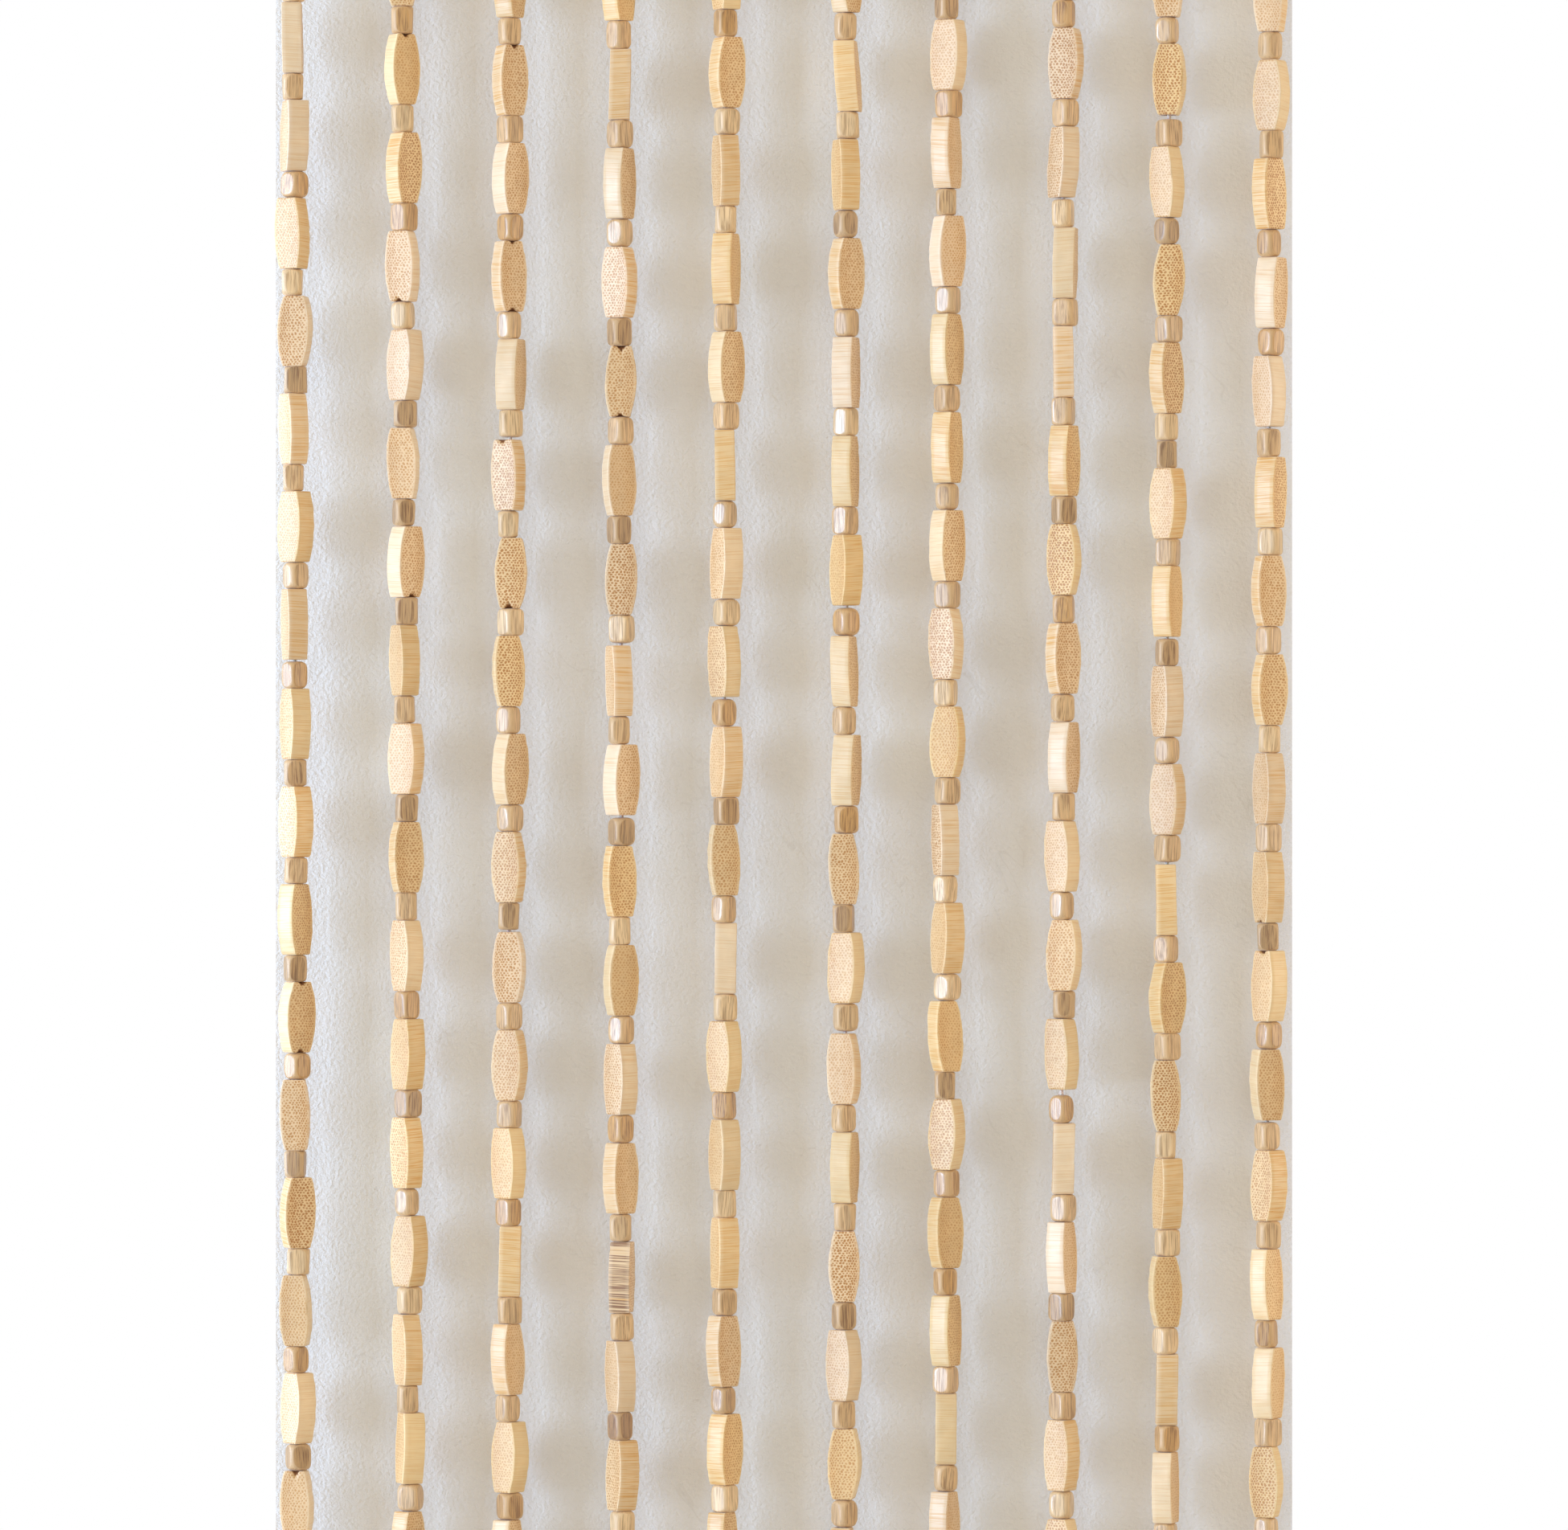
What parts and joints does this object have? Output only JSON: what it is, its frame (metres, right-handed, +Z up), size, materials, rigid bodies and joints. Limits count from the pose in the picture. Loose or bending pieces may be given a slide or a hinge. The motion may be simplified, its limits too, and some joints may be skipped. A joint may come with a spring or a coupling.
{
  "type": "bead curtain panel",
  "caption": "Cut length of a bamboo bead curtain: strings of flat barrel beads and short square beads hang from a slim slotted heading slat.",
  "frame": {"origin": "middle of the heading slat's top face, where the panel is held up", "axes": "+X along the heading to the right, +Z up, the strings hang down along -Z, the front looks along -Y"},
  "size_m": [0.3, 0.0114, 0.6158],
  "materials": {
    "heading": "satin bamboo slat",
    "flat_bead": "smooth bamboo, dotted end grain on the broad faces",
    "square_bead": "varnished bamboo, grain along the thread",
    "thread": "clear drawn line"
  },
  "bodies": {
    "root": {"heading_slat": "heading", "bead_strands": "flat_bead"}
  },
  "joints": []
}
